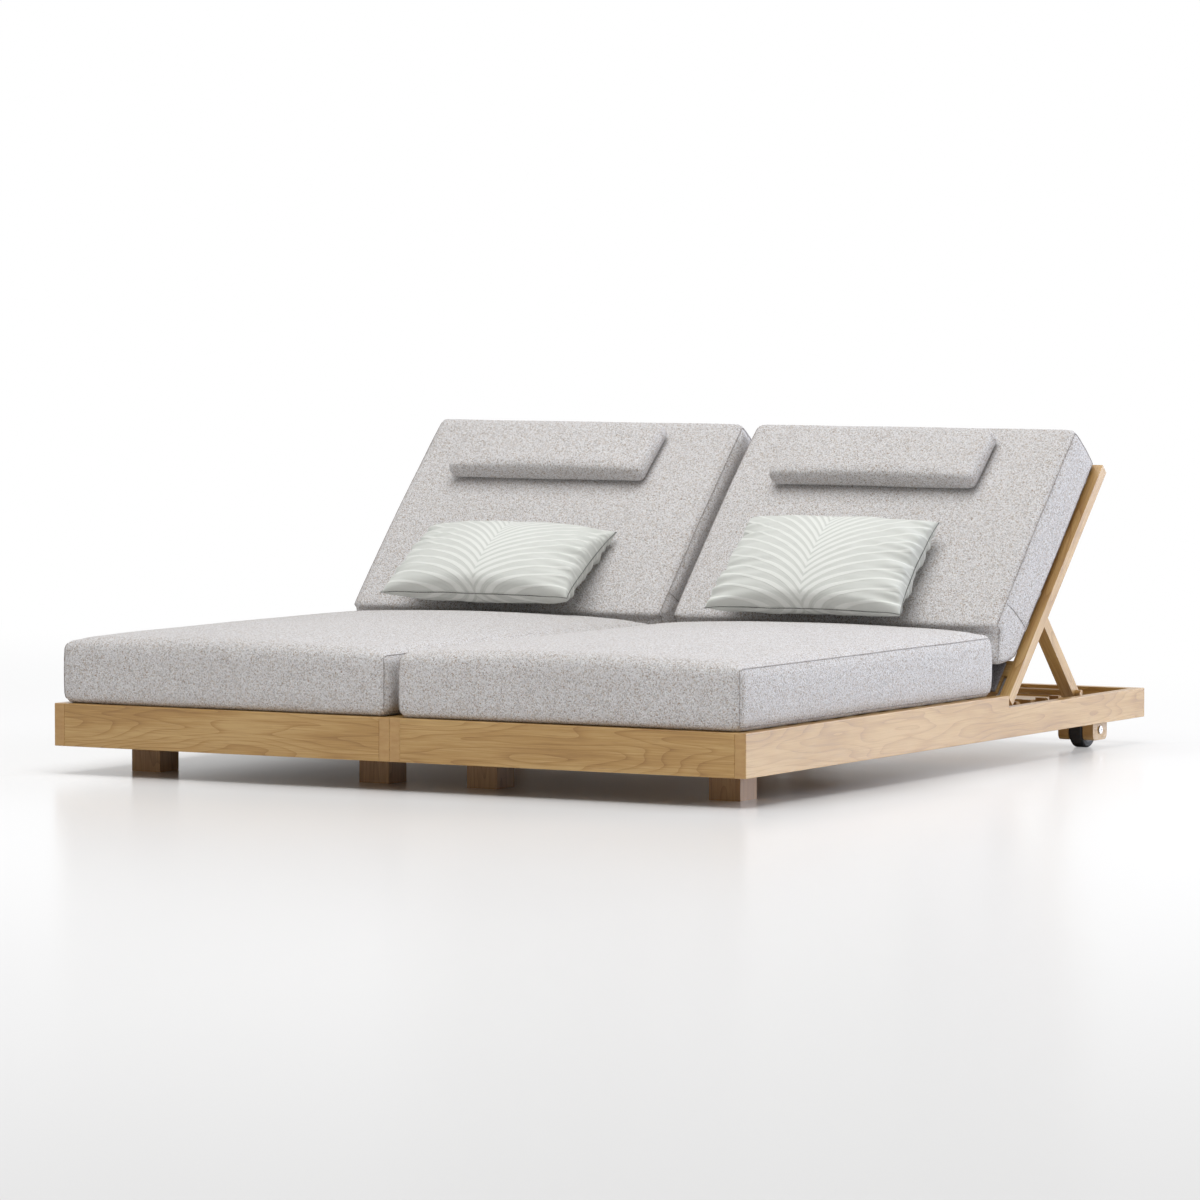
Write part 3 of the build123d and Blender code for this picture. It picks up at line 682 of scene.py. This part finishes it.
# back cushions: the same foam box, folded in at the foot so that it clears the seat
backLook = {
    "voxel": 0.0065, "smoothing": 3, "cap": 0.003, "pressure": 2.0, "stiffness": 14.0,
    "bending": 3.0, "frames": 6, "unevenSize": 0.2, "uneven": 0.0012, "edge": 0.004,
    "held": 0.014, "heldFoot": 0.11, "proud": ((-0.007, 0, 0), (0.001, 0.009, 0.003)),
    # the side panel's outline: along the back, and out from it
    "panel": ((0.11, 0.004), (0.064, 0.038), (0.044, 0.068), (0.058, 0.082), (0.102, 0.112), (0.1, 0.13),
              (0.4, 0.136), (0.698, 0.131), (0.71, 0.004)),
    "mitre": ((0.17, 0.128), (0.19, 0.02)), "mitreOut": 0.002, "clear": 0.0006,
    "seeds": {"left": 3, "right": 4},
}
back = flatCopy("left_back_cushion", backPlace(sides["left"]))
backBox = boxOf(back.data)
back = remeshed(back, backLook["voxel"], backLook["smoothing"])


def backHeld(point):
    return point.z < backLook["held"] or point.y < backLook["heldFoot"]


back = puff(back, backLook, backHeld)
fitBox(back.data, grow(backBox, *backLook["proud"]))
print("back cushion filled:", len(back.data.vertices), "points")
for side, x in sides.items():
    mesh = back.data.copy()
    ripple(mesh, backLook["unevenSize"], backLook["uneven"], backLook["seeds"][side])
    for vertex in mesh.vertices:
        vertex.co.z = max(vertex.co.z, backLook["clear"])
    low, high = boxOf(mesh)
    lines = []
    for way, face in ((-1, low.x), (1, high.x)):
        end = face - way * backLook["edge"]
        lines.append((along([(end, a, b) for a, b in backLook["panel"]], seamLook["step"]), True))
        end = face + way * backLook["mitreOut"]
        lines.append((along([(end, a, b) for a, b in backLook["mitre"]], seamLook["step"], False), False))
    seams = sewSeams(mesh, lines)
    place = backPlace(x)
    for made in [mesh] + seams:
        made.transform(place)
    piece = addPiece(side + "_back_pad", mesh, boucle, side + "_back", [side + "_back_cushion"])
    addSeams(side + "_back", seams, shadedSeamYarn, side + "_back")
bpy.data.objects.remove(back)

# flaps: a lining panel at the foot of each back, drawn in a little so that it clears the boards
flapLook = {"voxel": 0.0035, "smoothing": 2, "inset": 0.0008}
for side, x in sides.items():
    place = backPlace(x)
    flap = remeshed(flatCopy(side + "_flap", place), flapLook["voxel"], flapLook["smoothing"])
    mesh = flap.data
    bpy.data.objects.remove(flap)
    normals = [v.normal.copy() for v in mesh.vertices]
    for vertex, normal in zip(mesh.vertices, normals):
        vertex.co -= normal * flapLook["inset"]
    flapFlat = mesh.copy()
    mesh.transform(place)
    piece = addPiece(side + "_lining", mesh, liningCloth, side + "_back", [side + "_flap"])
    low, high = boxOf(flapFlat)

# headrests: small firm pillows with rolled edges
restLook = {
    "voxel": 0.0045, "smoothing": 9, "cap": 0.003, "pressure": 3.0, "stiffness": 12.0,
    "bending": 2.0, "frames": 8, "unevenSize": 0.09, "uneven": 0.0012,
    "proud": ((0.01, -0.009, 0), (-0.003, 0.005, 0.017)),
    "square": 1.3, "wedge": 0.2,      # squarer long edges, and thinner towards the top
    "seeds": {"left": 5, "right": 6},
}
rest = flatCopy("left_headrest", backPlace(sides["left"]))
restBox = boxOf(rest.data)
rest = remeshed(rest, restLook["voxel"], restLook["smoothing"])
rest = puff(rest, restLook)
fitBox(rest.data, grow(restBox, *restLook["proud"]))
low, high = boxOf(rest.data)
for vertex in rest.data.vertices:
    # from -1 at the lower edge to 1 at the upper one, with the long edges made squarer
    b = 2 * (vertex.co.y - low.y) / (high.y - low.y) - 1
    b = math.copysign(1 - (1 - min(abs(b), 1)) ** restLook["square"], b)
    vertex.co.y = low.y + (b + 1) / 2 * (high.y - low.y)
    vertex.co.z = low.z + (vertex.co.z - low.z) * (1 - restLook["wedge"] * (b + 1) / 2)
print("headrest filled:", len(rest.data.vertices), "points")
for side, x in sides.items():
    mesh = rest.data.copy()
    ripple(mesh, restLook["unevenSize"], restLook["uneven"], restLook["seeds"][side])
    mesh.transform(backPlace(x))
    piece = addPiece(side + "_headrest_pad", mesh, boucle, side + "_headrest_pillow", [side + "_headrest"])
bpy.data.objects.remove(rest)

# throw pillows: two panels sewn edge to edge and filled, with puckers gathered at the short ends
throwLook = {
    "width": 0.52, "height": 0.292, "grid": 0.0055, "thick": 0.122,
    "rest": 0.3, "restReach": 0.6,     # how much flatter the back is where it rests on the seat
    "cap": 0.005, "give": -0.006, "pressure": 3.0, "stiffness": 9.0, "bending": 0.3, "frames": 10,
    "bow": 0.03, "fullness": 0.42, "seam": 0.001, "unevenSize": 0.07, "uneven": 0.0025,
    "pucker": 0.026, "puckerReach": 0.22, "puckerEase": 0.05, "folds": 12.0, "foldBend": 1.7,
    # each one's size, its move from the solid's middle, how much narrower its top is, how many
    # degrees flatter than the back it lies, and the seeds of its folds and its unevenness
    "right": {"width": 0.516, "height": 0.3, "shift": (-0.003, 0.002, 0.003), "taper": 0.035,
              "flatter": 3.0, "foldSeed": 8.0, "seed": 8},
    "left": {"width": 0.518, "height": 0.286, "shift": (-0.009, 0.009, 0.0135), "taper": 0.02,
             "flatter": 15.0, "foldSeed": 3.0, "seed": 7},
}


def throwShape(look):
    # a filled two-sided cover whose points carry their place on the cloth
    columns = round(look["width"] / look["grid"])
    rows = round(look["height"] / look["grid"])
    work = bmesh.new()
    uvLayer = work.loops.layers.uv.new("cover")
    flatSpot = {}
    faces = {}
    for layer in (1, -1):
        for i in range(columns + 1):
            for j in range(rows + 1):
                rim = i in (0, columns) or j in (0, rows)
                if rim and layer == -1:
                    faces[(layer, i, j)] = faces[(1, i, j)]
                    continue
                u = (i / columns - 0.5) * look["width"]
                v = (j / rows - 0.5) * look["height"]
                bulge = (1 - (2 * i / columns - 1) ** 2) * (1 - (2 * j / rows - 1) ** 2)
                depth = 0 if rim else look["thick"] / 2 * bulge ** look["fullness"]
                if layer == -1:
                    depth *= 1 - look["rest"] * max(look["restReach"] - 2 * j / rows, 0)
                vertex = work.verts.new((u, v, layer * depth))
                flatSpot[vertex] = (u, v)
                faces[(layer, i, j)] = vertex
    for layer in (1, -1):
        for i in range(columns):
            for j in range(rows):
                ring = [faces[(layer, i, j)], faces[(layer, i + 1, j)],
                        faces[(layer, i + 1, j + 1)], faces[(layer, i, j + 1)]]
                if layer == -1:
                    ring.reverse()
                face = work.faces.new(ring)
                for loop in face.loops:
                    loop[uvLayer].uv = flatSpot[loop.vert]
    mesh = bpy.data.meshes.new("cover")
    work.to_mesh(mesh)
    work.free()
    piece = bpy.data.objects.new("cover", mesh)
    bpy.context.scene.collection.objects.link(piece)
    return piece


def rimOrder(look):
    # the points of the front cover's edge, once round
    columns = round(look["width"] / look["grid"])
    rows = round(look["height"] / look["grid"])
    ring = [(i, 0) for i in range(columns)] + [(columns, j) for j in range(rows)]
    ring += [(i, rows) for i in range(columns, 0, -1)] + [(0, j) for j in range(rows, 0, -1)]
    return [i * (rows + 1) + j for i, j in ring]


def squareUp(mesh, look, want):
    # the outline comes from each point's place on the cloth, the puckers gather at the short ends
    flat = {}
    for loop in mesh.loops:
        flat[loop.vertex_index] = mesh.uv_layers["cover"].data[loop.index].uv.copy()
    for i, spot in flat.items():
        vertex = mesh.vertices[i]
        a, b = 2 * spot.x / look["width"], 2 * spot.y / look["height"]
        narrow = 1 - want["taper"] * (b + 1) / 2
        vertex.co.x += want["width"] / 2 * a * narrow * (1 - look["bow"] * (1 - b * b)) - spot.x
        vertex.co.y += want["height"] / 2 * b * (1 - look["bow"] * (1 - a * a)) - spot.y
        inward = 1 - abs(a)
        near = math.exp(-inward / look["puckerReach"]) * (1 - b ** 8) * min(inward / look["puckerEase"], 1)
        face = math.copysign(9, vertex.co.z)      # far apart in the noise, so that the two faces differ
        fold = noise.noise((b * look["folds"], a * look["foldBend"] + face, want["foldSeed"]))
        vertex.co.z += look["pucker"] * near * fold


throw = puff(throwShape(throwLook), throwLook)
print("throw pillow filled:", len(throw.data.vertices), "points")
for side in sides:
    want = throwLook[side]
    mesh = throw.data.copy()
    squareUp(mesh, throwLook, want)
    ripple(mesh, throwLook["unevenSize"], throwLook["uneven"], want["seed"])
    low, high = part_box(side + "_throw_pillow")
    middle = (Vector(low) + Vector(high)) / 2 + Vector(want["shift"])
    turn = Matrix.Rotation(math.radians(lounger["angle"] - want["flatter"]), 4, "X")
    mesh.transform(Matrix.Translation(middle) @ turn)
    rim = cordMesh([mesh.vertices[i].co for i in rimOrder(throwLook)], throwLook["seam"])
    piece = addPiece(side + "_throw", mesh, ribbedCotton, side + "_pillow", [side + "_throw_pillow"])
    smoothLevel = piece.modifiers.new("fine", "SUBSURF")
    smoothLevel.levels = smoothLevel.render_levels = 1
    addSeams(side + "_throw", [rim], rimThread, side + "_pillow")
bpy.data.objects.remove(throw)
print("soft pieces done")

# floor, lamps and camera

floorLook = {
    "size": 60.0, "colour": "#EDEDEE", "roughness": 0.22,
    # lift and near: the painted light, a white glow seen only by the camera; lift is how much of it is
    # mixed in, near is how bright it is close to the object
    "lift": 0.3, "near": 0.94,             # how much white is added, and how white it is near the object
    "rearward": (-0.6, 3.4),               # where it starts to turn to plain white, and where it has
    "sideways": (0.9, 1.9),
    # shade and shadeEdge: where that glow is held back, a painted shade under the frame
    "shade": (0.86, 0.98),                 # half the width and length of the shaded floor under the frame
    "shadeEdge": (-0.02, 0.22),
}


def floorMaterial():
    # studio floor: pale, with a soft reflection; a white glow seen only by the camera is mixed in as
    # painted light, faint near the object, and brightens it to plain white further off
    material, tree, shader = newMaterial("studio_floor")
    shader.inputs["Base Color"].default_value = linear(floorLook["colour"])
    shader.inputs["Roughness"].default_value = floorLook["roughness"]
    shader.inputs["Specular IOR Level"].default_value = 0.5
    spot = addNode(tree, "ShaderNodeTexCoord")
    parts = addNode(tree, "ShaderNodeSeparateXYZ", None, {0: spot.outputs["Object"]})
    start, end = floorLook["rearward"]
    far = addNode(tree, "ShaderNodeMapRange", {1: start, 2: end, 3: 0.0, 4: 1.0}, {0: parts.outputs[1]},
                  interpolation_type="SMOOTHSTEP")
    aside = addNode(tree, "ShaderNodeMath", None, {0: parts.outputs[0]}, operation="ABSOLUTE")
    start, end = floorLook["sideways"]
    wide = addNode(tree, "ShaderNodeMapRange", {1: start, 2: end, 3: 0.0, 4: 1.0}, {0: aside.outputs[0]},
                   interpolation_type="SMOOTHSTEP")
    most = addNode(tree, "ShaderNodeMath", None, {0: far.outputs[0], 1: wide.outputs[0]},
                   operation="MAXIMUM")
    # painted shade: the white glow is held back under the frame, so the floor stays darker there, where it
    # lies in shade
    lengthwise = addNode(tree, "ShaderNodeMath", None, {0: parts.outputs[1]}, operation="ABSOLUTE")
    pastSide = addNode(tree, "ShaderNodeMath", {1: floorLook["shade"][0]}, {0: aside.outputs[0]},
                       operation="SUBTRACT")
    pastEnd = addNode(tree, "ShaderNodeMath", {1: floorLook["shade"][1]}, {0: lengthwise.outputs[0]},
                      operation="SUBTRACT")
    past = addNode(tree, "ShaderNodeMath", None, {0: pastSide.outputs[0], 1: pastEnd.outputs[0]},
                   operation="MAXIMUM")
    start, end = floorLook["shadeEdge"]
    clear = addNode(tree, "ShaderNodeMapRange", {1: start, 2: end, 3: 0.0, 4: floorLook["lift"]},
                    {0: past.outputs[0]}, interpolation_type="SMOOTHSTEP")
    fade = addNode(tree, "ShaderNodeMapRange", {4: 1.0}, {0: far.outputs[0], 3: clear.outputs[0]})
    ray = addNode(tree, "ShaderNodeLightPath")
    seen = addNode(tree, "ShaderNodeMath", None, {0: fade.outputs[0], 1: ray.outputs["Is Camera Ray"]},
                   operation="MULTIPLY")
    strength = addNode(tree, "ShaderNodeMapRange", {3: floorLook["near"], 4: 1.0}, {0: most.outputs[0]})
    white = addNode(tree, "ShaderNodeEmission", {"Color": (1, 1, 1, 1)}, {"Strength": strength.outputs[0]})
    blend = addNode(tree, "ShaderNodeMixShader", None,
                    {0: seen.outputs[0], 1: shader.outputs[0], 2: white.outputs[0]})
    tree.links.new(blend.outputs[0], tree.nodes["Material Output"].inputs["Surface"])
    return material


reach = floorLook["size"] / 2
corners = [(-reach, -reach, 0), (reach, -reach, 0), (reach, reach, 0), (-reach, reach, 0)]
floorMesh = bpy.data.meshes.new("floor")
floorMesh.from_pydata(corners, [], [(0, 1, 2, 3)])
floor = bpy.data.objects.new("floor", floorMesh)
bpy.context.scene.collection.objects.link(floor)
setMaterial(floor, floorMaterial())

# the world: white to the camera and in reflections, dimmer as light on the object
worldLook = {"fill": 0.355, "tone": "#FFFDF9"}
world = bpy.data.worlds.new("studio")
bpy.context.scene.world = world
world.use_nodes = True
tree = world.node_tree
ray = addNode(tree, "ShaderNodeLightPath")
seen = addNode(tree, "ShaderNodeMath", None,
               {0: ray.outputs["Is Camera Ray"], 1: ray.outputs["Is Glossy Ray"]}, operation="MAXIMUM")
strength = addNode(tree, "ShaderNodeMapRange", {3: worldLook["fill"], 4: 1.0}, {0: seen.outputs[0]})
tone = addNode(tree, "ShaderNodeMix", {6: linear(worldLook["tone"]), 7: (1, 1, 1, 1)},
               {0: seen.outputs[0]}, data_type="RGBA")
shade = tree.nodes["Background"]
tree.links.new(tone.outputs[2], shade.inputs["Color"])
tree.links.new(strength.outputs[0], shade.inputs["Strength"])

lamps = {
    "rightSoftbox": {"at": (5.0, 5.6, 2.4), "size": (6.0, 4.0), "power": 430.0, "colour": "#EBF1FF"},
    "topSoftbox": {"at": (0.4, -1.7, 6.0), "size": (5.0, 5.0), "power": 332.0, "colour": "#FFFFFF"},
    "frontFill": {"at": (-3.5, -7.5, 3.0), "size": (5.0, 3.0), "power": 6.0, "colour": "#FFEBD6"},
}
lampAim = Vector((0, 0.1, 0.3))
for name, look in lamps.items():
    lamp = bpy.data.lights.new(name, "AREA")
    lamp.shape = "RECTANGLE"
    lamp.size, lamp.size_y = look["size"]
    lamp.energy = look["power"]
    lamp.color = linear(look["colour"])[:3]
    holder = bpy.data.objects.new(name, lamp)
    bpy.context.scene.collection.objects.link(holder)
    holder.location = look["at"]
    holder.rotation_euler = (lampAim - Vector(look["at"])).to_track_quat("-Z", "Y").to_euler()
    holder.visible_camera = False

# the camera, fitted to the straight edges of the frame
shot = {"at": (7.2789, -12.8175, 1.2277), "down": 3.337, "turn": 29.73, "lens": 191.05, "sensor": 36.0}
camera = bpy.data.cameras.new("camera")
camera.lens = shot["lens"]
camera.sensor_width = shot["sensor"]
camera.clip_end = 200.0
cameraHolder = bpy.data.objects.new("camera", camera)
bpy.context.scene.collection.objects.link(cameraHolder)
cameraHolder.location = shot["at"]
cameraHolder.rotation_euler = (math.radians(90 - shot["down"]), 0, math.radians(shot["turn"]))
bpy.context.scene.camera = cameraHolder
bpy.context.scene.view_settings.view_transform = "Standard"
print("stage set")
